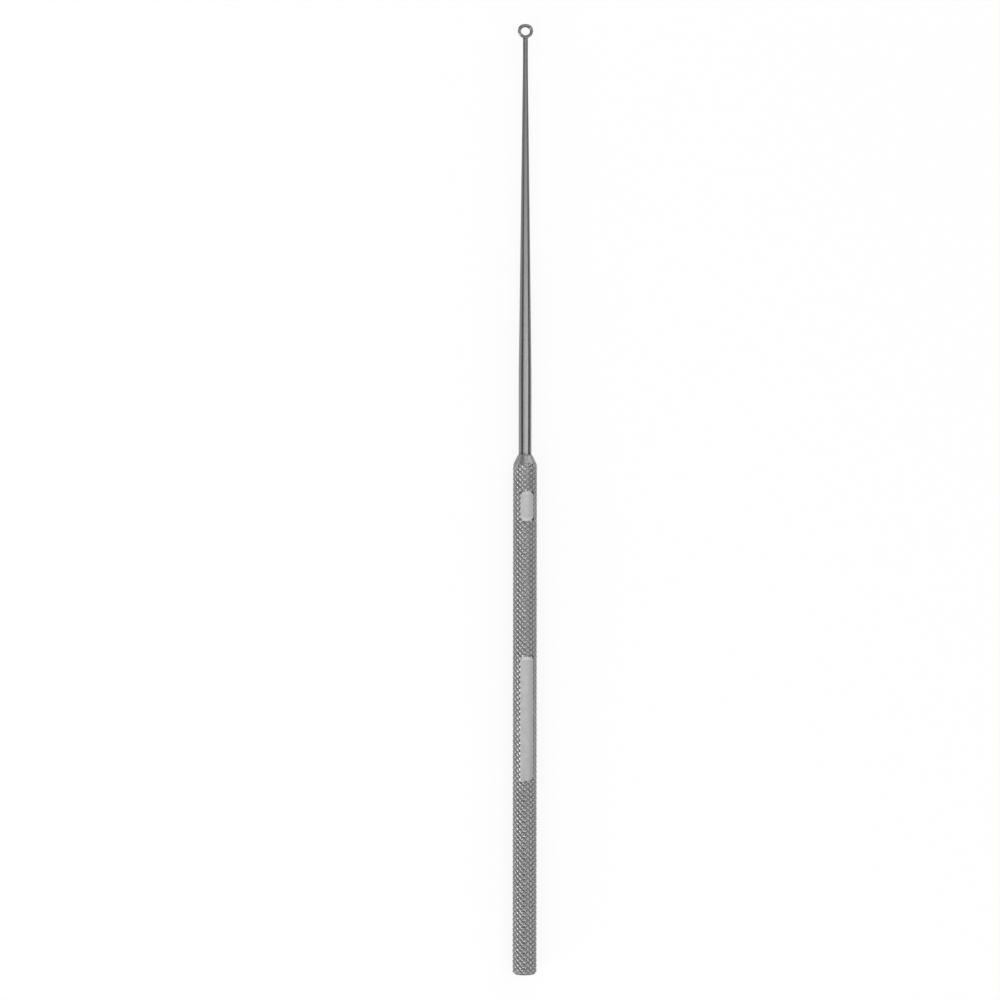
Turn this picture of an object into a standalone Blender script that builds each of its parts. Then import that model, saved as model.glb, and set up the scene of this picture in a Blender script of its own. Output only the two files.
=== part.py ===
"""Ear curette: a small open ring on a tapered shaft, in a round handle with a diamond knurl.

Each piece is modelled about the tool's long axis, which is local +Z, with the butt end of
the handle at zero. One empty carries them all and lays the tool down: the ring points
along +Y, the two milled flats face up and the lowest knurl crests touch Z = 0. The origin
is under the middle of the tool's length. All sizes are in metres.
"""

import math

import bmesh
import bpy

# Handle: a knurled bar
HANDLE_LENGTH = 0.0900
HANDLE_DIAMETER = 0.00425
NOSE_LENGTH = 0.00165
NOSE_WALL = 0.00014
BUTT_CHAMFER = 0.0004

# Diamond knurl, rolled into the bar from end to end
KNURL_STARTS = 12
KNURL_PITCH = 0.00091
KNURL_DEPTH = 0.00024

# Flats milled through the knurl, measured from the nose face
FLAT_DEPTH = 0.00040
FLAT_RUNOUT = 0.00070
SHORT_FLAT_START = 0.0061
SHORT_FLAT_LENGTH = 0.0053
LONG_FLAT_START = 0.0347
LONG_FLAT_LENGTH = 0.0217

# Shaft: ground rod with a tang in the handle
SHAFT_LENGTH = 0.0720
SHAFT_ROOT_DIAMETER = 0.00225
SHAFT_TIP_DIAMETER = 0.00088
ROOT_STRAIGHT = 0.0141
TIP_STRAIGHT = 0.0042
TANG_LENGTH = 0.0120
TANG_CHAMFER = 0.0002

# Braze that fills the bore's clearance and rises in a fillet round the shaft
BRAZE_FILM = 0.00004
BRAZE_GAP = 0.00001
BRAZE_RISE = 0.00016
BORE_END_GAP = 0.0003
BRAZE_REACH_SHARE = 0.65
BRAZE_FOOT_SHARE = 0.5

# Braze seam at the ring
SEAM_THICKNESS = 0.00006
SEAM_BULGE = 0.00002

# Ring: a forged loop with a bevelled inner lip, on a short neck
OPENING_WIDTH = 0.00166
OPENING_HEIGHT = 0.00140
RING_SIDE_WALL = 0.00051
RING_END_WALL = 0.00055
RING_THICKNESS = 0.00060
NECK_LENGTH = 0.00040
NECK_ROOT_WIDTH = 0.00134
NECK_ROOT_DEPTH_SHARE = 0.45
NECK_ROOT_THICKNESS_SHARE = 0.87

# Outlines of the opening and of the loop: a power of 2 is an ellipse, a higher one is
# squarer and a lower one comes nearer to a diamond
OPENING_POWER = 1.75
LOOP_FAR_POWER = 2.35
LOOP_NEAR_POWER = 1.85

# Section of the loop, as shares of its wall from the opening outwards and of its thickness
LOOP_SECTION_SHARES = (
    (0.00, -0.12),
    (0.34, -0.50),
    (0.74, -0.50),
    (1.00, -0.24),
    (1.00, 0.24),
    (0.74, 0.50),
    (0.40, 0.50),
    (0.00, 0.16),
)

# Neck, as shares of its length and of its change from the round end to the flat root
NECK_SHARES = ((0.0, 0.0), (0.45, 0.0), (0.70, 0.14), (0.86, 0.42), (1.0, 1.0))

# How far a cutter runs past what it cuts
OVERRUN = 0.0005

# Facets round the turned pieces and round the loop
ROUND_SEGMENTS = 48
LOOP_STATIONS = 48
NECK_SEGMENTS = 24

# Sizes that follow from the ones above
HANDLE_RADIUS = HANDLE_DIAMETER / 2
ROOT_RADIUS = SHAFT_ROOT_DIAMETER / 2
TIP_RADIUS = SHAFT_TIP_DIAMETER / 2
BRAZE_INNER_RADIUS = ROOT_RADIUS + BRAZE_GAP
BRAZE_OUTER_RADIUS = BRAZE_INNER_RADIUS + BRAZE_FILM
BORE_RADIUS = BRAZE_OUTER_RADIUS + BRAZE_GAP
BORE_DEPTH = TANG_LENGTH + BORE_END_GAP
NOSE_FACE_RADIUS = BORE_RADIUS + NOSE_WALL
RING_WIDTH = OPENING_WIDTH + 2 * RING_SIDE_WALL
RING_HEIGHT = OPENING_HEIGHT + 2 * RING_END_WALL
SHAFT_TIP_Z = HANDLE_LENGTH + SHAFT_LENGTH
NECK_BASE_Z = SHAFT_TIP_Z + SEAM_THICKNESS
RING_CENTRE_Z = NECK_BASE_Z + NECK_LENGTH + RING_HEIGHT / 2
TOTAL_LENGTH = RING_CENTRE_Z + RING_HEIGHT / 2
KNURL_HALF_STEP = math.pi / (2 * KNURL_STARTS)
AXIS_HEIGHT = HANDLE_RADIUS * math.cos(KNURL_HALF_STEP)


def clear_scene():
    """Remove whatever the scene starts with."""
    for old in list(bpy.data.objects):
        bpy.data.objects.remove(old, do_unlink=True)


def steel(name, colour, roughness):
    """Return a metal material."""
    material = bpy.data.materials.new(name)
    material.use_nodes = True
    shader = material.node_tree.nodes["Principled BSDF"]
    shader.inputs["Base Color"].default_value = (*colour, 1.0)
    shader.inputs["Metallic"].default_value = 1.0
    shader.inputs["Roughness"].default_value = roughness
    return material


def lay_axis():
    """Return the empty that lays the tool's axis along +Y at its resting height."""
    axis = bpy.data.objects.new("tool_axis", None)
    axis.location = (0.0, -TOTAL_LENGTH / 2, AXIS_HEIGHT)
    axis.rotation_euler = (-math.pi / 2, 0.0, 0.0)
    bpy.context.collection.objects.link(axis)
    return axis


def add_piece(name, bm, axis, material=None):
    """Turn a bmesh into a named object on the tool's axis."""
    mesh = bpy.data.meshes.new(name)
    bmesh.ops.recalc_face_normals(bm, faces=bm.faces)
    bm.to_mesh(mesh)
    bm.free()
    piece = bpy.data.objects.new(name, mesh)
    piece.parent = axis
    bpy.context.collection.objects.link(piece)
    if material is not None:
        mesh.materials.append(material)
    return piece


def shade(piece, angle):
    """Shade a piece smooth, with edges sharper than the angle left crisp."""
    piece.data.shade_smooth()
    piece.data.set_sharp_from_angle(angle=math.radians(angle))


def add_tool(name, bm, axis):
    """Add a shape that only cuts or joins, and is no piece of its own."""
    tool = add_piece(name, bm, axis)
    tool.hide_render = True
    tool.display_type = "WIRE"
    return tool


def combine(piece, tool, operation):
    """Cut a tool from a piece, or join it on."""
    boolean = piece.modifiers.new(tool.name, "BOOLEAN")
    boolean.operation = operation
    boolean.solver = "EXACT"
    boolean.object = tool


def ring_of_verts(bm, points, z):
    """Add a closed row of points at one height."""
    return [bm.verts.new((x, y, z)) for x, y in points]


def circle(radius, segments):
    """Return the points of a circle, with no point straight above or beside its centre."""
    step = 2 * math.pi / segments
    angles = [(index + 0.5) * step for index in range(segments)]
    return [(radius * math.cos(angle), radius * math.sin(angle)) for angle in angles]


def bridge(bm, lower, upper):
    """Join two rows of points with a band of quads."""
    for index, start in enumerate(lower):
        after = (index + 1) % len(lower)
        bm.faces.new((start, lower[after], upper[after], upper[index]))


def turned(outline, closed=False):
    """Turn an outline of (radius, z) points about the axis.

    An open outline gets a flat cap at each end. A closed one makes a tube.
    """
    bm = bmesh.new()
    rows = [ring_of_verts(bm, circle(radius, ROUND_SEGMENTS), z) for radius, z in outline]
    for lower, upper in zip(rows, rows[1:]):
        bridge(bm, lower, upper)
    if closed:
        bridge(bm, rows[-1], rows[0])
    else:
        bm.faces.new(list(reversed(rows[0])))
        bm.faces.new(rows[-1])
    return bm


def blank_radius(z):
    """Radius of the turned bar under the knurl: chamfered butt, straight body, conical nose."""
    butt = HANDLE_RADIUS - BUTT_CHAMFER + z
    nose = NOSE_FACE_RADIUS + (HANDLE_RADIUS - NOSE_FACE_RADIUS) * (HANDLE_LENGTH - z) / NOSE_LENGTH
    return min(HANDLE_RADIUS, butt, nose)


def knurled_bar():
    """Build the bar as a lattice of crests and valleys, one diamond pyramid for each crest.

    Crests and valleys take turns round the bar and along it. Each square of the lattice
    is split from valley to valley, so its fold is the floor of a knurl groove.
    """
    rows = 2 * round(HANDLE_LENGTH / KNURL_PITCH)
    columns = 2 * KNURL_STARTS
    bm = bmesh.new()
    lattice = []
    for row in range(rows + 1):
        z = HANDLE_LENGTH * row / rows
        points = []
        for column in range(columns):
            crest = (row + column) % 2 == 0
            knurl_radius = HANDLE_RADIUS if crest else HANDLE_RADIUS - KNURL_DEPTH
            radius = min(knurl_radius, blank_radius(z))
            angle = (2 * column + 1) * KNURL_HALF_STEP
            points.append((radius * math.cos(angle), radius * math.sin(angle)))
        lattice.append(ring_of_verts(bm, points, z))
    for row in range(rows):
        for column in range(columns):
            after = (column + 1) % columns
            a, b = lattice[row][column], lattice[row][after]
            d, c = lattice[row + 1][column], lattice[row + 1][after]
            if (row + column) % 2 == 0:
                bm.faces.new((a, b, d))
                bm.faces.new((b, c, d))
            else:
                bm.faces.new((a, b, c))
                bm.faces.new((a, c, d))
    bm.faces.new(list(reversed(lattice[0])))
    bm.faces.new(lattice[-1])
    return bm


def flat_cutter(start, length):
    """Build the milling cut of one flat: a slab with sloping run-outs, on the -Y side."""
    high = HANDLE_LENGTH - start
    low = high - length
    floor = -(HANDLE_RADIUS - FLAT_DEPTH)
    outside = -(HANDLE_RADIUS + OVERRUN)
    spread = FLAT_RUNOUT * (FLAT_DEPTH + OVERRUN) / FLAT_DEPTH
    outline = (
        (floor, low + FLAT_RUNOUT),
        (floor, high - FLAT_RUNOUT),
        (outside, high - FLAT_RUNOUT + spread),
        (outside, low + FLAT_RUNOUT - spread),
    )
    half_width = HANDLE_RADIUS + OVERRUN
    bm = bmesh.new()
    left = [bm.verts.new((-half_width, y, z)) for y, z in outline]
    right = [bm.verts.new((half_width, y, z)) for y, z in outline]
    bridge(bm, left, right)
    bm.faces.new(list(reversed(left)))
    bm.faces.new(right)
    return bm


def build_handle(axis):
    """Knurled bar, bored for the tang, with the two flats milled through the knurl."""
    handle = add_piece("handle", knurled_bar(), axis, steel("handle_steel", (0.33, 0.33, 0.34), 0.38))
    bore_floor = HANDLE_LENGTH - BORE_DEPTH
    bore = turned(((BORE_RADIUS, bore_floor), (BORE_RADIUS, HANDLE_LENGTH + OVERRUN)))
    combine(handle, add_tool("cut_bore", bore, axis), "DIFFERENCE")
    short_flat = flat_cutter(SHORT_FLAT_START, SHORT_FLAT_LENGTH)
    combine(handle, add_tool("cut_short_flat", short_flat, axis), "DIFFERENCE")
    long_flat = flat_cutter(LONG_FLAT_START, LONG_FLAT_LENGTH)
    combine(handle, add_tool("cut_long_flat", long_flat, axis), "DIFFERENCE")


def build_shaft(axis):
    """Ground rod: chamfered tang, straight root, long taper, straight thin end."""
    tang_end = HANDLE_LENGTH - TANG_LENGTH
    outline = (
        (ROOT_RADIUS - TANG_CHAMFER, tang_end),
        (ROOT_RADIUS, tang_end + TANG_CHAMFER),
        (ROOT_RADIUS, HANDLE_LENGTH + ROOT_STRAIGHT),
        (TIP_RADIUS, SHAFT_TIP_Z - TIP_STRAIGHT),
        (TIP_RADIUS, SHAFT_TIP_Z),
    )
    shaft = add_piece("shaft", turned(outline), axis, steel("shaft_steel", (0.36, 0.36, 0.37), 0.30))
    shade(shaft, 30)


def build_handle_braze(axis):
    """Braze sleeve in the bore's clearance, with a fillet that rises round the shaft."""
    mouth = HANDLE_LENGTH + BRAZE_GAP
    low = HANDLE_LENGTH - TANG_LENGTH * BRAZE_REACH_SHARE
    outline = (
        (BRAZE_OUTER_RADIUS, low),
        (BRAZE_OUTER_RADIUS, mouth),
        (BORE_RADIUS + NOSE_WALL * BRAZE_FOOT_SHARE, mouth),
        (BRAZE_OUTER_RADIUS, mouth + BRAZE_RISE / 2),
        (BRAZE_INNER_RADIUS + BRAZE_FILM / 2, mouth + BRAZE_RISE),
        (BRAZE_INNER_RADIUS, mouth + BRAZE_RISE),
        (BRAZE_INNER_RADIUS, low),
    )
    colour = (0.42, 0.39, 0.34)
    braze = add_piece("handle_braze", turned(outline, closed=True), axis, steel("braze", colour, 0.40))
    shade(braze, 30)


def build_ring_braze(axis):
    """Thin braze seam between the shaft's end and the ring's neck."""
    outline = (
        (TIP_RADIUS, SHAFT_TIP_Z),
        (TIP_RADIUS + SEAM_BULGE, SHAFT_TIP_Z + SEAM_THICKNESS / 2),
        (TIP_RADIUS, NECK_BASE_Z),
    )
    seam = add_piece("ring_braze", turned(outline), axis, steel("seam_braze", (0.42, 0.39, 0.34), 0.40))
    shade(seam, 60)


def rounded(value, power):
    """Bend a sine or cosine towards an outline of the given power, and keep its sign."""
    return math.copysign(abs(value) ** (2 / power), value)


def loop():
    """Sweep the bevelled section round the ring, from the opening's outline to the outer one."""
    bm = bmesh.new()
    stations = []
    for station in range(LOOP_STATIONS):
        angle = 2 * math.pi * station / LOOP_STATIONS
        cosine, sine = math.cos(angle), math.sin(angle)
        loop_power = LOOP_FAR_POWER if sine > 0 else LOOP_NEAR_POWER
        inner_x = OPENING_WIDTH / 2 * rounded(cosine, OPENING_POWER)
        inner_z = OPENING_HEIGHT / 2 * rounded(sine, OPENING_POWER)
        outer_x = RING_WIDTH / 2 * rounded(cosine, loop_power)
        outer_z = RING_HEIGHT / 2 * rounded(sine, loop_power)
        section = []
        for wall_share, thickness_share in LOOP_SECTION_SHARES:
            x = inner_x + (outer_x - inner_x) * wall_share
            z = inner_z + (outer_z - inner_z) * wall_share
            section.append(bm.verts.new((x, thickness_share * RING_THICKNESS, RING_CENTRE_Z + z)))
        stations.append(section)
    for index, section in enumerate(stations):
        bridge(bm, section, stations[(index + 1) % LOOP_STATIONS])
    return bm


def neck():
    """Loft the neck from its round brazed end to the flattened root inside the loop's wall."""
    reach = NECK_LENGTH + RING_END_WALL * NECK_ROOT_DEPTH_SHARE
    root_half_thickness = RING_THICKNESS / 2 * NECK_ROOT_THICKNESS_SHARE
    bm = bmesh.new()
    rows = []
    for length_share, root_share in NECK_SHARES:
        half_width = TIP_RADIUS + (NECK_ROOT_WIDTH / 2 - TIP_RADIUS) * root_share
        half_thickness = TIP_RADIUS + (root_half_thickness - TIP_RADIUS) * root_share
        points = [(x * half_width, y * half_thickness) for x, y in circle(1, NECK_SEGMENTS)]
        rows.append(ring_of_verts(bm, points, NECK_BASE_Z + reach * length_share))
    for lower, upper in zip(rows, rows[1:]):
        bridge(bm, lower, upper)
    bm.faces.new(list(reversed(rows[0])))
    bm.faces.new(rows[-1])
    return bm


def build_curette_ring(axis):
    """Forged loop with its neck grown on."""
    ring = add_piece("curette_ring", loop(), axis, steel("ring_steel", (0.36, 0.36, 0.37), 0.28))
    shade(ring, 35)
    neck_core = add_tool("neck_core", neck(), axis)
    shade(neck_core, 60)
    combine(ring, neck_core, "UNION")


def main():
    """Build every piece of the curette."""
    clear_scene()
    axis = lay_axis()
    build_handle(axis)
    build_shaft(axis)
    build_handle_braze(axis)
    build_ring_braze(axis)
    build_curette_ring(axis)


main()
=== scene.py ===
"""Looks of the ear curette: finer meshes for its visible pieces, their finishes and the studio.

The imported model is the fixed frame. The knurled handle, the ground shaft and the ring get
finer meshes in the same places and at the same sizes, and the two braze joints keep their
own. Sizes are in metres, +Y runs along the tool from the butt end to the ring, and +Z up.
"""

import logging
import math
from dataclasses import dataclass
from enum import Enum
from typing import Mapping, Optional, Sequence, Union

import bmesh
import bpy
from mathutils import Euler, Matrix, Vector, noise


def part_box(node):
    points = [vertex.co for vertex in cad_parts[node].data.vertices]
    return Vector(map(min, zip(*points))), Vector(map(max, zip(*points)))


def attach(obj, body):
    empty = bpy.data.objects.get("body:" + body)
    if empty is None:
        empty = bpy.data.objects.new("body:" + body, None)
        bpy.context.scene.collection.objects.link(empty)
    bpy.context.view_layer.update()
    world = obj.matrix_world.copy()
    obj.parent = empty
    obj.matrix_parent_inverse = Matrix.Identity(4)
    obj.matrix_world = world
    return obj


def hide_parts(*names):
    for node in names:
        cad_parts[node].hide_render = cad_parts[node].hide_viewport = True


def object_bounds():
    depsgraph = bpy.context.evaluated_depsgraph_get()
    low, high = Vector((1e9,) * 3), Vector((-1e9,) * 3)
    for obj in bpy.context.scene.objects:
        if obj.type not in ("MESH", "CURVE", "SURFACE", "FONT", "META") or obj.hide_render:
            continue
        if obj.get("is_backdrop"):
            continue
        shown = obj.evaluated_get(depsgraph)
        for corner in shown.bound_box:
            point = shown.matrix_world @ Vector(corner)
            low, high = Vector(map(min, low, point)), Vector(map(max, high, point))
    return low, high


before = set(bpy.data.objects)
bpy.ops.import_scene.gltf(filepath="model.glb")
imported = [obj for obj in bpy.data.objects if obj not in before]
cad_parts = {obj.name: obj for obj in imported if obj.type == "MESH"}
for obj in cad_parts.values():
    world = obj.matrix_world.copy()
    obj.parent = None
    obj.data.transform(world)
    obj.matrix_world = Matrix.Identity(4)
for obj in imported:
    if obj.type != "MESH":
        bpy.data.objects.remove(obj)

log = logging.getLogger("curette")

Point = tuple[float, float, float]
Colour = tuple[float, float, float, float]
Ring = list[int]

MM = 0.001


class Node(Enum):
    """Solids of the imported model."""

    HANDLE = "handle"
    SHAFT = "shaft"
    HANDLE_BRAZE = "handle_braze"
    RING_BRAZE = "ring_braze"
    RING = "curette_ring"


class Slot(Enum):
    """Material slots of the record that the finer pieces use."""

    HANDLE = "handle_steel"
    SHAFT = "shaft_steel"
    RING = "ring_steel"


class Body(Enum):
    """Bodies that pieces ride on."""

    ROOT = "root"


# Shader maths


@dataclass(frozen=True)
class Value:
    """One output socket of a material, with the arithmetic that adds Math nodes.

    Attributes:
        graph: The node tree that the socket belongs to.
        socket: The socket itself.
    """

    graph: "Graph"
    socket: bpy.types.NodeSocket

    def math(self, operation: str, first: "Term", second: "Term") -> "Value":
        """Add a Math node with an operation and its two values or links."""
        return self.graph.node("ShaderNodeMath", {"operation": operation}, {0: first, 1: second})

    def __add__(self, other: "Term") -> "Value":
        """Return self + other."""
        return self.math("ADD", self, other)

    def __radd__(self, other: "Term") -> "Value":
        """Return other + self."""
        return self.math("ADD", other, self)

    def __sub__(self, other: "Term") -> "Value":
        """Return self - other."""
        return self.math("SUBTRACT", self, other)

    def __rsub__(self, other: "Term") -> "Value":
        """Return other - self."""
        return self.math("SUBTRACT", other, self)

    def __mul__(self, other: "Term") -> "Value":
        """Return self * other."""
        return self.math("MULTIPLY", self, other)

    def __rmul__(self, other: "Term") -> "Value":
        """Return other * self."""
        return self.math("MULTIPLY", other, self)

    def __pow__(self, other: "Term") -> "Value":
        """Return self to the power of other."""
        return self.math("POWER", self, other)

    def at_most(self, other: "Term") -> "Value":
        """Return the smaller of self and other."""
        return self.math("MINIMUM", self, other)

    def vary(self, mean: "Term", spread: float) -> "Value":
        """Return a mean that this noise, from 0 to 1, spreads evenly up and down."""
        return mean + spread * (self - 0.5)


Term = Union[Value, float]
Input = Union[Value, float, Sequence[float]]


class Graph:
    """The node tree of one material."""

    MIX_COLOUR_A = 6
    MIX_COLOUR_B = 7
    MIX_COLOUR_RESULT = 2

    def __init__(self, name: str) -> None:
        """Start an empty material.

        Args:
            name: The material's name.
        """
        self.material = bpy.data.materials.new(name)
        self.material.use_nodes = True
        self.tree = self.material.node_tree
        self.tree.nodes.clear()

    def add(
        self,
        kind: str,
        settings: Optional[Mapping[str, object]] = None,
        inputs: Optional[Mapping[Union[int, str], Input]] = None,
    ) -> bpy.types.Node:
        """Add a node of any kind.

        Args:
            kind: The node's type.
            settings: Its own settings, which are set first.
            inputs: Values or links of its sockets, by name or number.

        Returns:
            The node.
        """
        made = self.tree.nodes.new(kind)
        for key, setting in (settings or {}).items():
            setattr(made, key, setting)
        for key, term in (inputs or {}).items():
            if isinstance(term, Value):
                self.tree.links.new(term.socket, made.inputs[key])
            else:
                made.inputs[key].default_value = term
        return made

    def node(
        self,
        kind: str,
        settings: Optional[Mapping[str, object]] = None,
        inputs: Optional[Mapping[Union[int, str], Input]] = None,
        output: Union[int, str] = 0,
    ) -> Value:
        """Add a node as add does, and return the output of a name or number."""
        return Value(self, self.add(kind, settings, inputs).outputs[output])

    def place(self) -> Value:
        """Return the point on the piece, in metres."""
        return self.node("ShaderNodeTexCoord", output="Object")

    def axes(self) -> tuple[Value, ...]:
        """Return the point's three coordinates."""
        split = self.add("ShaderNodeSeparateXYZ", inputs={0: self.place()})
        return tuple(Value(self, socket) for socket in split.outputs)

    def round_axis(self, height: float) -> tuple[Value, Value]:
        """Measure the point round the tool's axis.

        Args:
            height: Z of the axis.

        Returns:
            Its distance from the axis, and its place along the tool.
        """
        x, y, z = self.axes()
        drop = z - height
        return (x * x + drop * drop) ** 0.5, y

    def grain(self, size: Point, detail: float = 2.0, roughness: float = 0.5) -> Value:
        """Add noise whose grains have a real size along each axis.

        Args:
            size: Size of a grain along X, Y and Z, in metres.
            detail: Octaves of finer noise.
            roughness: How strong the finer octaves are.

        Returns:
            The noise, from 0 to 1.
        """
        scale = tuple(1 / side for side in size)
        stretched = self.node(
            "ShaderNodeVectorMath", {"operation": "MULTIPLY"}, {0: self.place(), 1: scale}
        )
        return self.node(
            "ShaderNodeTexNoise",
            inputs={"Vector": stretched, "Scale": 1.0, "Detail": detail, "Roughness": roughness},
        )

    def span(self, value: Term, low: float, high: float) -> Value:
        """Map low to 0 and high to 1, smoothly, and hold the ends.

        Args:
            value: What is mapped.
            low: Where the result is 0.
            high: Where the result is 1.

        Returns:
            The mapped value.
        """
        return self.node(
            "ShaderNodeMapRange",
            {"interpolation_type": "SMOOTHSTEP"},
            {"Value": value, "From Min": low, "From Max": high},
        )

    def blend(self, share: Term, first: Input, second: Input) -> Value:
        """Mix two colours.

        Args:
            share: Share of the second colour.
            first: The first colour.
            second: The second colour.

        Returns:
            The mixed colour.
        """
        return self.node(
            "ShaderNodeMix",
            {"data_type": "RGBA"},
            {0: share, self.MIX_COLOUR_A: first, self.MIX_COLOUR_B: second},
            self.MIX_COLOUR_RESULT,
        )

    def tones(self, share: Term, level: float, spread: tuple[float, float]) -> Value:
        """Mix a grey's darkest and palest tone, which spread gives as shares of it."""
        darkest, palest = spread
        return self.blend(share, grey(level * darkest), grey(level * palest))

    def bump(self, height: Value, depth: float) -> Value:
        """Turn a height from 0 to 1 into a normal, where 1 stands for a depth in metres."""
        inputs = {"Strength": 1.0, "Distance": depth, "Height": height}
        return self.node("ShaderNodeBump", inputs=inputs, output="Normal")

    def metal(self, colour: Input, roughness: Input, normal: Value) -> bpy.types.Material:
        """Finish the material as bare metal.

        Args:
            colour: Base colour.
            roughness: Roughness.
            normal: Surface normal.

        Returns:
            The material.
        """
        shader = self.node(
            "ShaderNodeBsdfPrincipled",
            inputs={"Base Color": colour, "Metallic": 1.0, "Roughness": roughness, "Normal": normal},
        )
        return self.close(shader)

    def close(self, shader: Value) -> bpy.types.Material:
        """Send the last shader to the material's output, and return the material."""
        self.add("ShaderNodeOutputMaterial", inputs={"Surface": shader})
        return self.material


def grey(level: float) -> Colour:
    """Return a neutral colour."""
    return (level, level, level, 1.0)


def even(size: float) -> Point:
    """Return a size that is the same along each axis."""
    return (size, size, size)


# The tool's axis and its turned meshes


@dataclass(frozen=True)
class ToolAxis:
    """The tool's long axis, laid along +Y at its resting height.

    Attributes:
        butt: Y of the butt end.
        nose: Y of the handle's nose face.
        tip: Y of the shaft's thin end.
        height: Z of the axis.
    """

    butt: float
    nose: float
    tip: float
    height: float

    @classmethod
    def of_frame(cls) -> "ToolAxis":
        """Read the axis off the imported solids.

        Returns:
            The axis.
        """
        low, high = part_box(Node.HANDLE.value)
        shaft_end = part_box(Node.SHAFT.value)[1].y
        return cls(butt=low.y, nose=high.y, tip=shaft_end, height=(low.z + high.z) / 2)

    def point(self, radius: float, angle: float, y: float) -> Point:
        """Place a point round the axis; at an angle of a quarter turn it is straight down."""
        return radius * math.cos(angle), y, self.height - radius * math.sin(angle)

    def circle(self, radius: float, angles: Sequence[float], y: float) -> list[Point]:
        """Place points at one radius round the axis, at angles in radians."""
        return [self.point(radius, angle, y) for angle in angles]


def add_object(name: str, data: bpy.types.ID) -> bpy.types.Object:
    """Put new data into the scene.

    Args:
        name: The object's name.
        data: Its mesh, lamp or camera.

    Returns:
        The new object.
    """
    made = bpy.data.objects.new(name, data)
    bpy.context.scene.collection.objects.link(made)
    return made


class MeshMaker:
    """Collects points and faces for one piece."""

    def __init__(self) -> None:
        """Start with nothing."""
        self.points: list[Point] = []
        self.faces: list[tuple[int, ...]] = []
        self.finishes: list[int] = []

    def ring(self, points: Sequence[Point]) -> Ring:
        """Add a row of points.

        Args:
            points: The points, in order.

        Returns:
            Their numbers.
        """
        first = len(self.points)
        self.points.extend(points)
        return list(range(first, len(self.points)))

    def face(self, corners: Sequence[int], finish: int = 0) -> None:
        """Add a face by the numbers of its points and of its material."""
        self.faces.append(tuple(corners))
        self.finishes.append(finish)

    def bridge(self, lower: Ring, upper: Ring, finish: int = 0) -> None:
        """Join two closed rows with a band of quads.

        Args:
            lower: The first row.
            upper: The second row, with as many points.
            finish: Number of the band's material.
        """
        for index, start in enumerate(lower):
            after = (index + 1) % len(lower)
            self.face((start, lower[after], upper[after], upper[index]), finish)

    def piece(self, name: str, materials: Sequence[bpy.types.Material]) -> bpy.types.Object:
        """Make the object.

        Args:
            name: The piece's name.
            materials: Its materials, in the order of the faces' numbers.

        Returns:
            The new object.
        """
        mesh = bpy.data.meshes.new(name)
        mesh.from_pydata(self.points, [], self.faces)
        for material in materials:
            mesh.materials.append(material)
        mesh.polygons.foreach_set("material_index", self.finishes)
        mesh.update()
        return add_object(name, mesh)


def apply_modifiers(piece: bpy.types.Object) -> None:
    """Replace a piece's mesh by what its modifiers make of it.

    Args:
        piece: The piece.
    """
    bpy.context.view_layer.update()
    depsgraph = bpy.context.evaluated_depsgraph_get()
    made = bpy.data.meshes.new_from_object(piece.evaluated_get(depsgraph))
    piece.modifiers.clear()
    piece.data = made


def shade(piece: bpy.types.Object, angle: float) -> None:
    """Shade a piece smooth, but for edges that turn by more than an angle in degrees."""
    piece.data.shade_smooth()
    piece.data.set_sharp_from_angle(angle=math.radians(angle))


def soften(piece: bpy.types.Object, finish: int, angle: float) -> None:
    """Round the shallower folds within one finish, as wear does, and keep the deeper ones crisp.

    Args:
        piece: The piece.
        finish: Number of the material.
        angle: Folds that turn by less than this are rounded, in degrees.
    """
    mesh = bmesh.new()
    mesh.from_mesh(piece.data)
    for edge in mesh.edges:
        within = all(face.material_index == finish for face in edge.link_faces)
        if within and edge.calc_face_angle() < math.radians(angle):
            edge.smooth = True
    mesh.to_mesh(piece.data)
    mesh.free()


def flatten(piece: bpy.types.Object, finish: int) -> None:
    """Shade the faces of one finish flat, with crisp edges to the others.

    Args:
        piece: The piece.
        finish: Number of the material.
    """
    mesh = bmesh.new()
    mesh.from_mesh(piece.data)
    for face in mesh.faces:
        if face.material_index == finish:
            face.smooth = False
            for edge in face.edges:
                edge.smooth = False
    mesh.to_mesh(piece.data)
    mesh.free()


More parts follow.
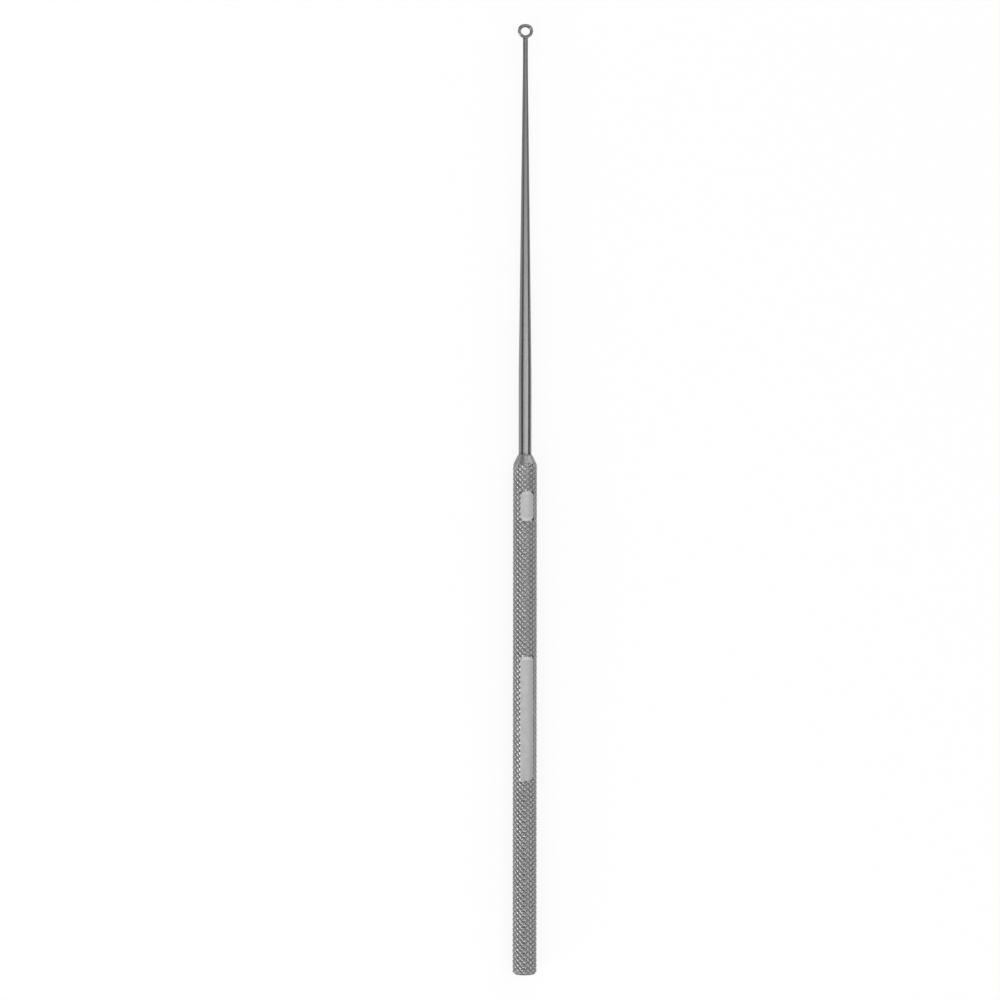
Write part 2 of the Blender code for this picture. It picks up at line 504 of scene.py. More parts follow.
@dataclass(frozen=True)
class BakeMap:
    """UV map of a long turned piece: its side in strips, its bore and its ends in a last column.

    Attributes:
        axis: The tool's axis.
        radius: Largest radius of the piece.
        strips: Strips that the side is folded into.
        gap: Share of a strip that stays free at each edge.
        bore_share: Share of the last column that the bore takes.
        bore_start: Where the bore's floor lies in its share of the column.
        cell: Side of the square that one end takes.
        end_turn: A face that faces this squarely along the tool is an end.
    """

    NAME = "OFBake"

    axis: ToolAxis
    radius: float
    strips: int = 3
    gap: float = 0.03
    bore_share: float = 0.4
    bore_start: float = 0.5
    cell: float = 0.2
    end_turn: float = 0.9

    @property
    def column(self) -> float:
        """Width of one strip in the map."""
        return 1 / (self.strips + 1)

    def inset(self, share: float) -> float:
        """Return a place across or along a strip, with the strip's edges left free."""
        return self.gap + (1 - 2 * self.gap) * share

    def turn_share(self, point: Vector, centre: Vector) -> float:
        """Return how far round the axis a point is, on the same turn as its face's centre.

        Args:
            point: The point.
            centre: The face's centre.

        Returns:
            The share of a full turn.
        """
        angle = math.atan2(self.axis.height - point.z, point.x)
        middle = math.atan2(self.axis.height - centre.z, centre.x)
        off = math.remainder(angle - middle, 2 * math.pi)
        return (middle + off) / (2 * math.pi) + 0.5

    def add(self, piece: bpy.types.Object) -> None:
        """Give a piece the map.

        Args:
            piece: The piece.
        """
        mesh = piece.data
        layer = mesh.uv_layers.new(name=self.NAME)
        low = min(vertex.co.y for vertex in mesh.vertices)
        length = max(vertex.co.y for vertex in mesh.vertices) - low
        bore = [face.center.y for face in mesh.polygons if self.inward(face)]
        ends: list[int] = []
        for face in mesh.polygons:
            level = round(face.center.y / MM)
            is_end = abs(face.normal.y) > self.end_turn
            if is_end and level not in ends:
                ends.append(level)
            strip = min(self.strips - 1, int((face.center.y - low) / length * self.strips))
            for corner in face.loop_indices:
                point = mesh.vertices[mesh.loops[corner].vertex_index].co
                turn = self.turn_share(point, face.center)
                if is_end:
                    u = self.strips * self.column + self.cell * self.inset(0.5 + point.x / self.radius / 2)
                    across = self.inset(0.5 + (point.z - self.axis.height) / self.radius / 2)
                    v = self.bore_share + self.cell * (ends.index(level) + across)
                elif self.inward(face):
                    u = (self.strips + self.inset(turn)) * self.column
                    depth = (point.y - min(bore)) / length
                    v = self.bore_share * self.inset(self.bore_start + depth)
                else:
                    u = (strip + self.inset(turn)) * self.column
                    v = self.inset((point.y - low) / length * self.strips - strip)
                layer.data[corner].uv = (u, v)

    def inward(self, face: bpy.types.MeshPolygon) -> bool:
        """Return whether a face looks at the axis, as a bore's wall does."""
        drop = face.center.z - self.axis.height
        return face.center.x * face.normal.x + drop * face.normal.z < 0


def settle(piece: bpy.types.Object, slot: Slot, *nodes: Node) -> None:
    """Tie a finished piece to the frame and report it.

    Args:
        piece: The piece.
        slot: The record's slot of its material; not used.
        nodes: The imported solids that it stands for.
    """
    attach(piece, Body.ROOT.value)
    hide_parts(*(node.value for node in nodes))
    log.info("%s: %d faces", piece.name, len(piece.data.polygons))


# Finishes


@dataclass(frozen=True)
class KnurledSteel:
    """Satin steel under the knurl: lighter on the worn crests, and darker in the grooves as painted shade.

    Attributes:
        axis_height: Z of the tool's axis.
        groove_radius: Radius at the bottom of the grooves.
        crest_radius: Radius on the crests.
        shaded_groove_colour: Base colour in the grooves, darkened as painted shade.
        crest_colour: Base colour on the crests.
        wear_size: Size of a patch that is worn more or less than the rest.
        wear_from: Share of the crest colour where the wear is least.
        wear_spread: What the most worn patches add to that share.
        roughness: Roughness on the crests.
        groove_roughness: What the grooves add to it.
        skin_roughness: How far the skin's grain spreads it.
        skin_size: Size of the rolled skin's fine grain.
        skin_depth: Depth of the rolled skin's fine grain.
    """

    axis_height: float
    groove_radius: float
    crest_radius: float
    shaded_groove_colour: Colour = grey(0.17)
    crest_colour: Colour = grey(0.37)
    wear_size: Point = (2.5 * MM, 4.0 * MM, 2.5 * MM)
    wear_from: float = 0.75
    wear_spread: float = 0.5
    roughness: float = 0.27
    groove_roughness: float = 0.10
    skin_roughness: float = 0.12
    skin_size: float = 0.05 * MM
    skin_depth: float = 0.002 * MM

    def material(self) -> bpy.types.Material:
        """Return the material."""
        graph = Graph("knurled_steel")
        radius, _ = graph.round_axis(self.axis_height)
        crest = graph.span(radius, self.groove_radius, self.crest_radius)
        wear = graph.grain(self.wear_size, detail=3.0)
        skin = graph.grain(even(self.skin_size))
        share = (crest * (self.wear_from + self.wear_spread * wear)).at_most(1.0)
        # Painted shade: the grooves take the darker colour, the worn crests the lighter.
        colour = graph.blend(share, self.shaded_groove_colour, self.crest_colour)
        roughness = self.roughness + self.groove_roughness * (1 - crest)
        roughness = skin.vary(roughness, self.skin_roughness)
        return graph.metal(colour, roughness, graph.bump(skin, self.skin_depth))


@dataclass(frozen=True)
class MilledSteel:
    """Bright steel of the milled flats, with cutter lines along the tool and painted shade towards the +X
    edge.

    Attributes:
        colour: Mean base colour.
        spread: Darkest and palest tone, as shares of the colour.
        painted_shade_share: Share of the colour that is left where the painted shade is full.
        painted_shade_from: Where the painted shade starts, off the flat's middle line.
        painted_shade_to: Where it is full.
        cloud_size: Size of the clouds in the tone.
        cloud_share: Part that the clouds have in the tone, beside the lines.
        roughness: Mean roughness.
        line_roughness: How far the lines spread it.
        cloud_roughness: How far the clouds spread it.
        line_size: Size of one cutter line.
        line_depth: Depth of the lines.
    """

    colour: float = 0.33
    spread: tuple[float, float] = (0.60, 1.38)
    painted_shade_share: float = 0.76
    painted_shade_from: float = -0.2 * MM
    painted_shade_to: float = 1.1 * MM
    cloud_size: Point = (1.0 * MM, 1.6 * MM, 1.0 * MM)
    cloud_share: float = 0.7
    roughness: float = 0.30
    line_roughness: float = 0.14
    cloud_roughness: float = 0.08
    line_size: Point = (0.03 * MM, 3.0 * MM, 0.03 * MM)
    line_depth: float = 0.001 * MM

    def material(self) -> bpy.types.Material:
        """Return the material."""
        graph = Graph("milled_steel")
        x, _, _ = graph.axes()
        lines = graph.grain(self.line_size)
        clouds = graph.grain(self.cloud_size, detail=3.0)
        light = self.cloud_share * clouds + (1 - self.cloud_share) * lines
        steel = graph.tones(light, self.colour, self.spread)
        # Painted shade: the flat's colour is darkened towards its +X edge.
        painted_shade = graph.span(x, self.painted_shade_from, self.painted_shade_to)
        colour = graph.blend(painted_shade, steel, grey(self.colour * self.painted_shade_share))
        roughness = lines.vary(self.roughness, self.line_roughness)
        roughness = clouds.vary(roughness, self.cloud_roughness)
        return graph.metal(colour, roughness, graph.bump(lines, self.line_depth))


@dataclass(frozen=True)
class TurnedSteel:
    """Steel of the nose cone and the butt end, with the lathe's lines round the axis.

    Attributes:
        axis_height: Z of the tool's axis.
        colour: Mean base colour.
        spread: Darkest and palest tone, as shares of the colour.
        cloud_size: Size of the clouds in the tone.
        cloud_share: Part that the clouds have in the tone, beside the lines.
        roughness: Mean roughness.
        cloud_roughness: How far the clouds spread it.
        line_width: Width of one tool line.
        line_depth: Depth of the lines.
    """

    axis_height: float
    colour: float = 0.26
    spread: tuple[float, float] = (0.84, 1.12)
    cloud_size: float = 0.6 * MM
    cloud_share: float = 0.5
    roughness: float = 0.32
    cloud_roughness: float = 0.12
    line_width: float = 0.03 * MM
    line_depth: float = 0.0015 * MM

    def material(self) -> bpy.types.Material:
        """Return the material."""
        graph = Graph("turned_steel")
        radius, y = graph.round_axis(self.axis_height)
        along = (radius + y) * (1 / self.line_width)
        lines = graph.node(
            "ShaderNodeTexNoise",
            {"noise_dimensions": "1D"},
            {"W": along, "Scale": 1.0, "Detail": 2.0},
        )
        clouds = graph.grain(even(self.cloud_size), detail=3.0)
        light = (1 - self.cloud_share) * lines + self.cloud_share * clouds
        colour = graph.tones(light, self.colour, self.spread)
        roughness = clouds.vary(self.roughness, self.cloud_roughness)
        return graph.metal(colour, roughness, graph.bump(lines, self.line_depth))


@dataclass(frozen=True)
class GroundSteel:
    """Steel of the shaft, ground along its length, duller towards the thin end, with painted shade beside
    the handle's nose.

    Attributes:
        nose: Y of the handle's nose face, where a band of painted shade darkens the shaft.
        tip: Y of the thin end.
        colour: Base colour near the handle.
        tip_colour: Base colour at the thin end.
        spread: Darkest and palest tone, as shares of the colour.
        cloud_size: Size of the clouds in the tone.
        cloud_share: Part that the clouds have in the tone, beside the lines.
        nose_shade_colour: Base colour of the painted shade beside the nose.
        nose_shade_length: Reach of the painted shade from the nose.
        roughness: Roughness near the handle.
        tip_roughness: Roughness at the thin end.
        line_roughness: How far the lines spread it.
        line_size: Size of one grinding line.
        line_depth: Depth of the lines.
    """

    nose: float
    tip: float
    colour: float = 0.28
    tip_colour: float = 0.185
    spread: tuple[float, float] = (0.86, 1.12)
    cloud_size: Point = (1.5 * MM, 6.0 * MM, 1.5 * MM)
    cloud_share: float = 0.5
    nose_shade_colour: float = 0.17
    nose_shade_length: float = 0.8 * MM
    roughness: float = 0.25
    tip_roughness: float = 0.32
    line_roughness: float = 0.10
    line_size: Point = (0.02 * MM, 4.0 * MM, 0.02 * MM)
    line_depth: float = 0.0006 * MM

    def material(self) -> bpy.types.Material:
        """Return the material."""
        graph = Graph("ground_steel")
        _, y, _ = graph.axes()
        thin = graph.span(y, self.nose, self.tip)
        lines = graph.grain(self.line_size, detail=3.0)
        clouds = graph.grain(self.cloud_size, detail=3.0)
        light = (1 - self.cloud_share) * lines + self.cloud_share * clouds
        darkest, palest = (
            graph.blend(thin, grey(self.colour * tone), grey(self.tip_colour * tone))
            for tone in self.spread
        )
        steel = graph.blend(light, darkest, palest)
        # Painted shade: a dark band on the shaft next to the handle's nose.
        nose_shade = 1 - graph.span(y, self.nose, self.nose + self.nose_shade_length)
        colour = graph.blend(nose_shade, steel, grey(self.nose_shade_colour))
        roughness = self.roughness + (self.tip_roughness - self.roughness) * thin
        roughness = lines.vary(roughness, self.line_roughness)
        return graph.metal(colour, roughness, graph.bump(lines, self.line_depth))


@dataclass(frozen=True)
class PolishedSteel:
    """Polished steel of the ring, with fine polishing marks and rubbed edges.

    Attributes:
        colour: Mean base colour.
        spread: Darkest and palest tone, as shares of the colour.
        cloud_size: Size of the clouds in the tone.
        roughness: Mean roughness.
        mark_roughness: How far the marks spread it.
        mark_size: Size of the polishing marks.
        mark_depth: Depth of the marks.
    """

    colour: float = 0.20
    spread: tuple[float, float] = (0.80, 1.16)
    cloud_size: float = 0.5 * MM
    roughness: float = 0.26
    mark_roughness: float = 0.12
    mark_size: float = 0.05 * MM
    mark_depth: float = 0.0010 * MM

    def material(self) -> bpy.types.Material:
        """Return the material."""
        graph = Graph("polished_steel")
        marks = graph.grain(even(self.mark_size), detail=3.0)
        clouds = graph.grain(even(self.cloud_size))
        colour = graph.tones(clouds, self.colour, self.spread)
        roughness = marks.vary(self.roughness, self.mark_roughness)
        return graph.metal(colour, roughness, graph.bump(marks, self.mark_depth))


@dataclass(frozen=True)
class SilverBraze:
    """Dull silver braze of the joints, slightly rippled where it froze.

    Attributes:
        dark: Base colour in the hollows.
        light: Base colour on the ripples.
        roughness: Mean roughness.
        ripple_roughness: How far the ripples spread it.
        ripple_size: Size of a ripple.
        ripple_depth: Depth of the ripples.
    """

    dark: Colour = (0.13, 0.128, 0.122, 1.0)
    light: Colour = (0.30, 0.295, 0.28, 1.0)
    roughness: float = 0.42
    ripple_roughness: float = 0.2
    ripple_size: float = 0.12 * MM
    ripple_depth: float = 0.004 * MM

    def material(self) -> bpy.types.Material:
        """Return the material."""
        graph = Graph("silver_braze")
        ripples = graph.grain(even(self.ripple_size), detail=3.0, roughness=0.6)
        colour = graph.blend(ripples, self.dark, self.light)
        roughness = ripples.vary(self.roughness, self.ripple_roughness)
        return graph.metal(colour, roughness, graph.bump(ripples, self.ripple_depth))


# Handle


@dataclass(frozen=True)
class MilledFlat:
    """One flat milled through the knurl.

    Attributes:
        start: Distance from the nose face.
        length: Length along the tool.
    """

    start: float
    length: float


@dataclass
class KnurledHandle:
    """The knurled bar: its diamonds, cone, chamfer, bore and flats.

    Attributes:
        axis: The tool's axis.
        radius: Radius over the crests.
        nose_length: Length of the nose cone.
        nose_face_radius: Radius of the flat nose face.
        butt_chamfer: Chamfer at the butt end.
        bore_radius: Radius of the bore for the shaft.
        bore_depth: Depth of the bore.
        starts: Knurl starts round the bar.
        pitch: Knurl pitch along the bar.
        depth: Depth of a sharp knurl.
        crest_share: Part of each half diamond that is rubbed flat.
        cross_share: Height of the shallower grooves' floors, as a share of the depth.
        depth_spread_share: How far the knurl's depth wanders over the bar.
        wander_turn: How fast it wanders round the bar.
        wander_rows: Rows over which it wanders along the bar.
        crest_wear: How far single crests are worn down.
        fade_length: Stretch behind the nose over which the knurl runs out.
        fade_share: Share of the depth that is left at the nose.
        beside_share: Share of the depth that is left beside a flat.
        beside_angle: Angle from the top within which a flat calms the knurl, in degrees.
        flat_height: Height of the flats above the tool's axis.
        flat_runout: Length of a flat's sloping end.
        flats: The flats.
        overrun: How far a cutter runs past the bar.
        crisp_angle: Edges that turn by more than this are crisp, in degrees.
        worn_angle: Folds of the knurl that turn by less than this are worn round, in degrees.
    """

    axis: ToolAxis
    radius: float = 2.115 * MM
    nose_length: float = 1.65 * MM
    nose_face_radius: float = 1.325 * MM
    butt_chamfer: float = 0.4 * MM
    bore_radius: float = 1.185 * MM
    bore_depth: float = 12.3 * MM
    starts: int = 12
    pitch: float = 0.91 * MM
    depth: float = 0.25 * MM
    crest_share: float = 0.15
    cross_share: float = 0.15
    depth_spread_share: float = 0.16
    wander_turn: float = 2.0
    wander_rows: float = 9.0
    crest_wear: float = 0.02 * MM
    fade_length: float = 3.5 * MM
    fade_share: float = 0.55
    beside_share: float = 0.35
    beside_angle: float = 43.0
    flat_height: float = 1.725 * MM
    flat_runout: float = 0.70 * MM
    flats: tuple[MilledFlat, ...] = (
        MilledFlat(start=6.1 * MM, length=5.3 * MM),
        MilledFlat(start=34.7 * MM, length=21.7 * MM),
    )
    overrun: float = 0.5 * MM
    crisp_angle: float = 30.0
    worn_angle: float = 50.0

    KNURL = 0
    TURNED = 1
    MILLED = 2
    HALF_CELL = 0.5

    @property
    def length(self) -> float:
        """Length of the handle."""
        return self.axis.nose - self.axis.butt

    @property
    def rows(self) -> int:
        """Half pitches along the handle."""
        return 2 * round(self.length / self.pitch)

    @property
    def columns(self) -> int:
        """Half pitches round the handle."""
        return 2 * self.starts

    def blank_radius(self, along: float) -> float:
        """Return the turned bar's radius under the knurl.

        Args:
            along: Distance from the butt end.

        Returns:
            The radius.
        """
        butt = self.radius - self.butt_chamfer + along
        rise = (self.radius - self.nose_face_radius) / self.nose_length
        nose = self.nose_face_radius + rise * (self.length - along)
        return min(self.radius, butt, nose)

    def knurl_radius(self, column: float, row: float) -> float:
        """Return the knurl's radius at a place of its lattice.

        Args:
            column: Place round the bar, in half pitches.
            row: Place along the bar, in half pitches.

        Returns:
            The radius.
        """
        main = abs((column + row) % 2 - 1)
        cross = abs((column - row) % 2 - 1)
        rise = min(main, self.cross_share + (1 - self.cross_share) * cross)
        top = 1 - self.crest_share
        cut = self.depth * top
        along = self.length * row / self.rows
        angle = 2 * math.pi * column / self.columns
        turn = self.wander_turn
        place = (turn * math.cos(angle), turn * math.sin(angle), row / self.wander_rows)
        wander = noise.noise(Vector(place))
        from_nose = min(1.0, (self.length - along) / self.fade_length)
        cut *= 1 - self.depth_spread_share * (0.5 + 0.5 * wander)
        cut *= self.fade_share + (1 - self.fade_share) * from_nose
        cut *= self.calm(angle + math.pi / self.columns, along)
        share = min(1.0, rise / top)
        half = self.HALF_CELL
        cell = (round(column) % self.columns + half, round(row) + half, half)
        wear = self.crest_wear * noise.cell(Vector(cell))
        return self.radius - cut * (1 - share) - wear * share

    def calm(self, angle: float, along: float) -> float:
        """Return the share of the knurl's depth that the milling left beside a flat.

        Args:
            angle: Angle round the axis, in radians; a quarter turn is straight down.
            along: Distance from the butt end.

        Returns:
            The share, which is 1 away from the flats.
        """
        from_nose = self.length - along
        beside = any(flat.start < from_nose < flat.start + flat.length for flat in self.flats)
        off_top = abs(math.degrees(math.remainder(angle + math.pi / 2, 2 * math.pi)))
        if not beside or off_top > self.beside_angle:
            return 1.0
        return self.beside_share

    def lattice(self, count: int) -> list[float]:
        """Return the places of the mesh lines over a count of half pitches, in half pitches."""
        shares = (0.0, self.crest_share, 1 - self.crest_share)
        return [index + share for index in range(count) for share in shares]

    def bar(self) -> MeshMaker:
        """Build the knurled bar with its bore.

        Returns:
            The mesh.
        """
        maker = MeshMaker()
        half_step = math.pi / self.columns
        across = self.lattice(self.columns)
        angles = [(2 * column + 1) * half_step for column in across]
        edges = {self.butt_chamfer, self.length - self.nose_length, self.length}
        row_step = self.length / self.rows
        along = sorted({row * row_step for row in self.lattice(self.rows)} | edges)
        rings: list[Ring] = []
        turned: list[bool] = []
        for place in along:
            blank = self.blank_radius(place)
            radii = [min(self.knurl_radius(column, place / row_step), blank) for column in across]
            points = [
                self.axis.point(radius, angle, self.axis.butt + place)
                for radius, angle in zip(radii, angles)
            ]
            rings.append(maker.ring(points))
            turned.extend(blank < self.radius and radius >= blank for radius in radii)
        for place, beyond, lower, upper in zip(along, along[1:], rings, rings[1:]):
            row = int((place + beyond) / 2 / row_step)
            for index, column in enumerate(across):
                after = (index + 1) % len(across)
                corners = (lower[index], lower[after], upper[after], upper[index])
                finish = self.TURNED if all(turned[corner] for corner in corners) else self.KNURL
                self.split(maker, corners, (int(column) + row) % 2 == 0, finish)
        maker.face(list(reversed(rings[0])), self.TURNED)
        self.bore(maker, rings[-1], angles)
        return maker

    def bore(self, maker: MeshMaker, rim: Ring, angles: Sequence[float]) -> None:
        """Add the nose face and the blind bore.

        Args:
            maker: The mesh.
            rim: The nose face's outer row of points.
            angles: Angles of the rows' points round the axis, in radians.
        """
        mouth = maker.ring(self.axis.circle(self.bore_radius, angles, self.axis.nose))
        floor_y = self.axis.nose - self.bore_depth
        floor = maker.ring(self.axis.circle(self.bore_radius, angles, floor_y))
        maker.bridge(rim, mouth, self.TURNED)
        maker.bridge(mouth, floor, self.TURNED)
        maker.face(floor, self.TURNED)

    def split(self, maker: MeshMaker, corners: Sequence[int], falling: bool, finish: int) -> None:
        """Split one cell along the knurl's folds.

        Args:
            maker: The mesh.
            corners: The cell's corners.
            falling: Whether the fold joins the second and the fourth corner.
            finish: Number of the material.
        """
        a, b, c, d = corners
        halves = ((a, b, d), (b, c, d)) if falling else ((a, b, c), (a, c, d))
        for half in halves:
            maker.face(half, finish)

    def cutter(self, flat: MilledFlat, finishes: Sequence[bpy.types.Material]) -> bpy.types.Object:
        """Build the milling cut of one flat: a slab with sloping run-outs.

        Args:
            flat: The flat.
            finishes: The handle's materials.

        Returns:
            The cutter.
        """
        high = self.axis.nose - flat.start
        low = high - flat.length
        floor = self.axis.height + self.flat_height
        outside = self.axis.height + self.radius + self.overrun
        spread = self.flat_runout * (outside - floor) / (self.radius - self.flat_height)
        outline = (
            (low + self.flat_runout, floor),
            (high - self.flat_runout, floor),
            (high - self.flat_runout + spread, outside),
            (low + self.flat_runout - spread, outside),
        )
        half_width = self.radius + self.overrun
        maker = MeshMaker()
        left = maker.ring([(-half_width, y, z) for y, z in outline])
        right = maker.ring([(half_width, y, z) for y, z in outline])
        maker.bridge(left, right, self.MILLED)
        maker.face(list(reversed(left)), self.MILLED)
        maker.face(right, self.MILLED)
        return maker.piece("flat_cutter", finishes)

    def build(self, finishes: Sequence[bpy.types.Material]) -> bpy.types.Object:
        """Build the handle.

        Args:
            finishes: Its knurled, turned and milled steel.

        Returns:
            The piece.
        """
        handle = self.bar().piece("knurled_handle", finishes)
        cutters = [self.cutter(flat, finishes) for flat in self.flats]
        for cutter in cutters:
            cut = handle.modifiers.new("flat", "BOOLEAN")
            cut.operation = "DIFFERENCE"
            cut.solver = "MANIFOLD"
            cut.object = cutter
        apply_modifiers(handle)
        for cutter in cutters:
            bpy.data.objects.remove(cutter, do_unlink=True)
        shade(handle, self.crisp_angle)
        soften(handle, self.KNURL, self.worn_angle)
        flatten(handle, self.MILLED)
        BakeMap(self.axis, self.radius).add(handle)
        return handle

    def dress(self) -> None:
        """Build the handle with its finishes and tie it to the frame."""
        groove_radius = self.radius - self.depth * (1 - self.crest_share)
        finishes = (
            KnurledSteel(self.axis.height, groove_radius, self.radius).material(),
            TurnedSteel(self.axis.height).material(),
            MilledSteel().material(),
        )
        settle(self.build(finishes), Slot.HANDLE, Node.HANDLE)


# Shaft


@dataclass
class TaperedShaft:
    """The ground rod: tang, straight root, long taper and straight thin end.

    Attributes:
        axis: The tool's axis.
        root_radius: Radius at the handle.
        tip_radius: Radius at the ring.
        root_straight: Length of the straight root outside the handle.
        tip_straight: Length of the straight thin end.
        tang: Length inside the handle.
        tang_chamfer: Chamfer at the tang's end.
        ease: Stretch over which one slope eases into the next.
        ease_samples: Radii that are averaged over that stretch.
        segments: Facets round the rod.
        stations: Rows of facets along the part outside the handle.
        crisp_angle: Edges that turn by more than this are crisp, in degrees.
    """

    axis: ToolAxis
    root_radius: float = 1.125 * MM
    tip_radius: float = 0.44 * MM
    root_straight: float = 14.1 * MM
    tip_straight: float = 4.2 * MM
    tang: float = 12.0 * MM
    tang_chamfer: float = 0.2 * MM
    ease: float = 3.0 * MM
    ease_samples: int = 9
    segments: int = 64
    stations: int = 72
    crisp_angle: float = 30.0

    @property
    def reach(self) -> float:
        """Length outside the handle."""
        return self.axis.tip - self.axis.nose

    def slope_radius(self, along: float) -> float:
        """Return the radius with sharp changes of slope.

        Args:
            along: Distance from the nose face.

        Returns:
            The radius.
        """
        taper = self.reach - self.root_straight - self.tip_straight
        share = min(1.0, max(0.0, (along - self.root_straight) / taper))
        return self.root_radius + (self.tip_radius - self.root_radius) * share

    def radius_at(self, along: float) -> float:
        """Return the radius with eased changes of slope.

        Args:
            along: Distance from the nose face.

        Returns:
            The radius.
        """
        steps = self.ease_samples - 1
        offsets = [self.ease * (index / steps - 0.5) for index in range(self.ease_samples)]
        return sum(self.slope_radius(along + offset) for offset in offsets) / len(offsets)

    def build(self, finish: bpy.types.Material) -> bpy.types.Object:
        """Build the shaft.

        Args:
            finish: Its steel.

        Returns:
            The piece.
        """
        tang_end = self.axis.nose - self.tang
        profile = [
            (self.root_radius - self.tang_chamfer, tang_end),
            (self.root_radius, tang_end + self.tang_chamfer),
        ]
        for station in range(self.stations + 1):
            along = self.reach * station / self.stations
            profile.append((self.radius_at(along), self.axis.nose + along))
        maker = MeshMaker()
        step = 2 * math.pi / self.segments
        angles = [(index + 0.5) * step for index in range(self.segments)]
        rings = [maker.ring(self.axis.circle(radius, angles, y)) for radius, y in profile]
        for lower, upper in zip(rings, rings[1:]):
            maker.bridge(lower, upper)
        maker.face(list(reversed(rings[0])))
        maker.face(rings[-1])
        shaft = maker.piece("ground_shaft", [finish])
        shade(shaft, self.crisp_angle)
        BakeMap(self.axis, self.root_radius).add(shaft)
        return shaft

    def dress(self) -> None:
        """Build the shaft with its finish and tie it to the frame."""
        finish = GroundSteel(self.axis.nose, self.axis.tip).material()
        settle(self.build(finish), Slot.SHAFT, Node.SHAFT)


# Ring and braze joints


@dataclass
class CuretteRing:
    """The forged loop with its neck, its edges rubbed round.

    Attributes:
        weld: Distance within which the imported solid's doubled points join.
        voxel: Size of the finer mesh's cells.
        rubs: Passes that round the edges.
        rub_strength: Strength of one pass.
    """

    weld: float = 0.0003 * MM
    voxel: float = 0.03 * MM
    rubs: int = 6
    rub_strength: float = 0.5

    def build(self, finish: bpy.types.Material) -> bpy.types.Object:
        """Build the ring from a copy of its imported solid.

        Args:
            finish: Its steel.

        Returns:
            The piece.
        """
        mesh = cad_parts[Node.RING.value].data.copy()
        mesh.materials.clear()
        mesh.materials.append(finish)
        ring = add_object("polished_ring", mesh)
        weld = ring.modifiers.new("weld", "WELD")
        weld.merge_threshold = self.weld
        remesh = ring.modifiers.new("remesh", "REMESH")
        remesh.mode = "VOXEL"
        remesh.voxel_size = self.voxel
        rub = ring.modifiers.new("rub", "SMOOTH")
        rub.iterations = self.rubs
        rub.factor = self.rub_strength
        apply_modifiers(ring)
        ring.data.shade_smooth()
        return ring

    def dress(self) -> None:
        """Build the ring with its finish and tie it to the frame."""
        settle(self.build(PolishedSteel().material()), Slot.RING, Node.RING)


@dataclass
class BrazeJoints:
    """The braze in the handle's mouth and the seam at the ring."""

    def dress(self) -> None:
        """Give both joints their finish."""
        finish = SilverBraze().material()
        for node in (Node.HANDLE_BRAZE, Node.RING_BRAZE):
            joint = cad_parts[node.value]
            for holder in joint.material_slots:
                holder.material = finish
            log.info("%s: %d faces", joint.name, len(joint.data.polygons))


# Studio


@dataclass(frozen=True)
class Softbox:
    """A rectangular soft lamp that faces the tool.

    Attributes:
        name: The lamp's name.
        azimuth: Direction to the lamp, in degrees from +X towards +Y.
        elevation: Its height above the table, in degrees.
        across: Angle that it fills sideways, in degrees.
        along: Angle that it fills upwards, in degrees.
        brightness: Radiance, where 1 renders as white.
        distance: Distance from the tool's middle.
    """

    name: str
    azimuth: float
    elevation: float
    across: float
    along: float
    brightness: float
    distance: float = 0.9

    def build(self, target: Vector) -> None:
        """Hang the lamp.

        Args:
            target: What it faces.
        """
        lamp = bpy.data.lights.new(self.name, "AREA")
        lamp.shape = "RECTANGLE"
        lamp.size = 2 * self.distance * math.tan(math.radians(self.across / 2))
        lamp.size_y = 2 * self.distance * math.tan(math.radians(self.along / 2))
        lamp.energy = self.brightness * math.pi * lamp.size * lamp.size_y
        holder = add_object(self.name, lamp)
        tilt = math.radians(90 - self.elevation)
        turn = Euler((0.0, tilt, math.radians(self.azimuth)), "XYZ").to_matrix()
        facing = Matrix.Rotation(math.radians(90), 3, "Z")
        holder.location = target + turn @ Vector((0.0, 0.0, self.distance))
        holder.rotation_euler = (turn @ facing).to_euler()
        holder.visible_camera = False
        log.info("%s: brightness %.2f", self.name, self.brightness)


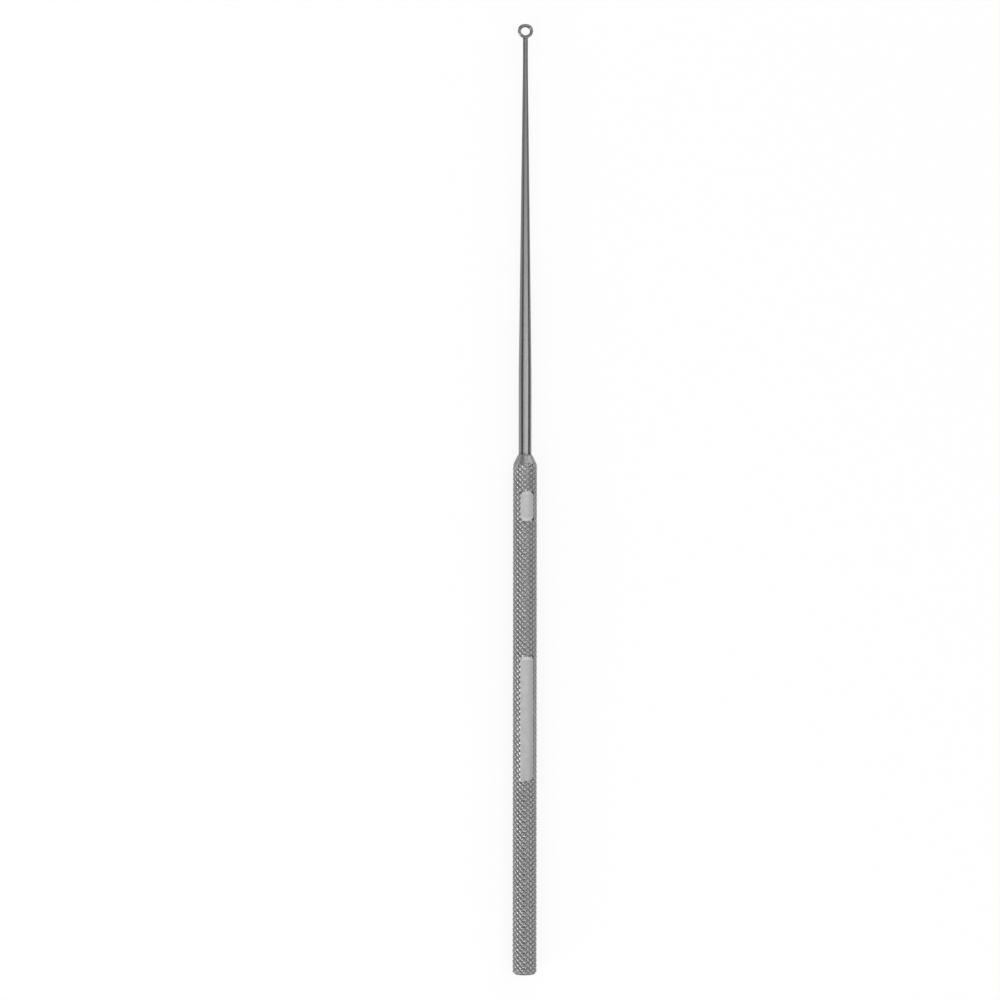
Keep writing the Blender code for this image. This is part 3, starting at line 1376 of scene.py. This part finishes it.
@dataclass
class Studio:
    """White table with a low backdrop all round, a dim room and soft lamps.

    Attributes:
        table_side: Side of the table.
        backdrop_height: Height of the backdrop at the table's edges.
        paper_colour: Colour of the table and the backdrop.
        table_glow_share: Share of the table that shows as plain white.
        backdrop_glow_share: Share of the backdrop that shows as plain white.
        room: Brightness of the room.
        lamps: The lamps.
    """

    table_side: float = 10.0
    backdrop_height: float = 0.73
    paper_colour: Colour = grey(0.92)
    table_glow_share: float = 0.85
    backdrop_glow_share: float = 0.6
    room: float = 0.05
    lamps: tuple[Softbox, ...] = (
        Softbox("top_softbox", azimuth=0, elevation=76, across=32, along=54, brightness=1.75),
        Softbox("left_fill", azimuth=180, elevation=60, across=34, along=26, brightness=1.1),
        Softbox("left_back_high", azimuth=135, elevation=60, across=28, along=24, brightness=1.1),
        Softbox("left_back_low", azimuth=151, elevation=14, across=20, along=20, brightness=2.8),
        Softbox("left_front_low", azimuth=210, elevation=14, across=20, along=22, brightness=5.5),
        Softbox("left_front_high", azimuth=218, elevation=38, across=30, along=22, brightness=4.4),
        Softbox("butt_end_softbox", azimuth=268, elevation=28, across=38, along=34, brightness=1.65),
        Softbox("right_front_softbox", azimuth=308, elevation=20, across=44, along=26, brightness=1.9),
        Softbox("right_back_softbox", azimuth=45, elevation=20, across=48, along=28, brightness=2.0),
        Softbox("right_fill", azimuth=20, elevation=45, across=24, along=22, brightness=0.7),
        Softbox("ring_end_softbox", azimuth=86, elevation=28, across=28, along=36, brightness=2.0),
        Softbox("ring_end_fill", azimuth=119, elevation=28, across=22, along=28, brightness=0.8),
    )

    TABLE = 0
    BACKDROP = 1

    def paper(self, name: str, glow_share: float) -> bpy.types.Material:
        """Return a matt white for the table or the backdrop.

        Args:
            name: The material's name.
            glow_share: Share of it that shows as plain white.

        Returns:
            The material.
        """
        graph = Graph(name)
        matt = graph.node("ShaderNodeBsdfDiffuse", inputs={"Color": self.paper_colour})
        glow = graph.node("ShaderNodeEmission", inputs={"Color": grey(1.0), "Strength": 1.0})
        seen = graph.node("ShaderNodeLightPath", output="Is Camera Ray")
        mirrored = graph.node("ShaderNodeLightPath", output="Is Glossy Ray")
        through = graph.node("ShaderNodeLightPath", output="Is Transmission Ray")
        share = (seen + mirrored + through).at_most(1.0) * glow_share
        return graph.close(graph.node("ShaderNodeMixShader", inputs={0: share, 1: matt, 2: glow}))

    def build(self, target: Vector) -> None:
        """Lay the table with its backdrop, light the room and hang the lamps.

        Args:
            target: What the lamps face.
        """
        half = self.table_side / 2
        maker = MeshMaker()
        corners = [(-half, -half, 0.0), (half, -half, 0.0), (half, half, 0.0), (-half, half, 0.0)]
        edge = maker.ring(corners)
        top = maker.ring([(x, y, self.backdrop_height) for x, y, _ in corners])
        maker.face(edge, self.TABLE)
        maker.bridge(edge, top, self.BACKDROP)
        papers = [
            self.paper("white_table", self.table_glow_share),
            self.paper("pale_backdrop", self.backdrop_glow_share),
        ]
        table = maker.piece("table", papers)
        table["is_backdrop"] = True
        world = bpy.data.worlds.new("room")
        world.use_nodes = True
        background = world.node_tree.nodes["Background"]
        background.inputs["Color"].default_value = grey(self.room)
        background.inputs["Strength"].default_value = 1.0
        bpy.context.scene.world = world
        for lamp in self.lamps:
            lamp.build(target)


@dataclass
class PhotoCamera:
    """The camera: nearly straight above the tool, leaning a little to its left.

    Attributes:
        span: Width of the picture at the tool.
        lens: Focal length, in millimetres.
        sensor: Sensor width, in millimetres.
        lean: Lean of the line of sight to the tool's left, in degrees.
        roll: Roll of the picture, in degrees.
        tool_right: How far the tool's middle lies right of the picture's.
        tool_up: How far the tool's middle lies above the picture's.
        nearest: Nearest distance that shows, in metres.
        farthest: Farthest distance that shows, in metres.
    """

    span: float = 173.70 * MM
    lens: float = 100.0
    sensor: float = 36.0
    lean: float = 11.0
    roll: float = 0.055
    tool_right: float = 4.34 * MM
    tool_up: float = 0.19 * MM
    nearest: float = 0.01
    farthest: float = 20.0

    def build(self, target: Vector) -> None:
        """Set the camera up.

        Args:
            target: The tool's middle.
        """
        data = bpy.data.cameras.new("photo_camera")
        data.lens = self.lens
        data.sensor_width = self.sensor
        data.clip_start = self.nearest
        data.clip_end = self.farthest
        camera = add_object("photo_camera", data)
        leaned = Matrix.Rotation(math.radians(-self.lean), 4, "Y")
        rolled = Matrix.Rotation(math.radians(self.roll), 4, "Z")
        turn = leaned @ rolled
        back = turn @ Vector((0.0, 0.0, self.span * self.lens / self.sensor))
        aside = turn @ Vector((-self.tool_right, -self.tool_up, 0.0))
        camera.matrix_world = Matrix.Translation(target + back + aside) @ turn
        bpy.context.scene.camera = camera


def main() -> None:
    """Build the pieces, the studio and the camera."""
    logging.basicConfig(level=logging.INFO, format="%(name)s: %(message)s")
    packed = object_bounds()
    axis = ToolAxis.of_frame()
    KnurledHandle(axis).dress()
    TaperedShaft(axis).dress()
    BrazeJoints().dress()
    CuretteRing().dress()
    middle = Vector((0.0, (packed[0].y + packed[1].y) / 2, axis.height))
    Studio().build(middle)
    PhotoCamera().build(middle)
    bpy.context.scene.view_settings.view_transform = "Standard"
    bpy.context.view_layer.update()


if __name__ == "__main__":
    main()
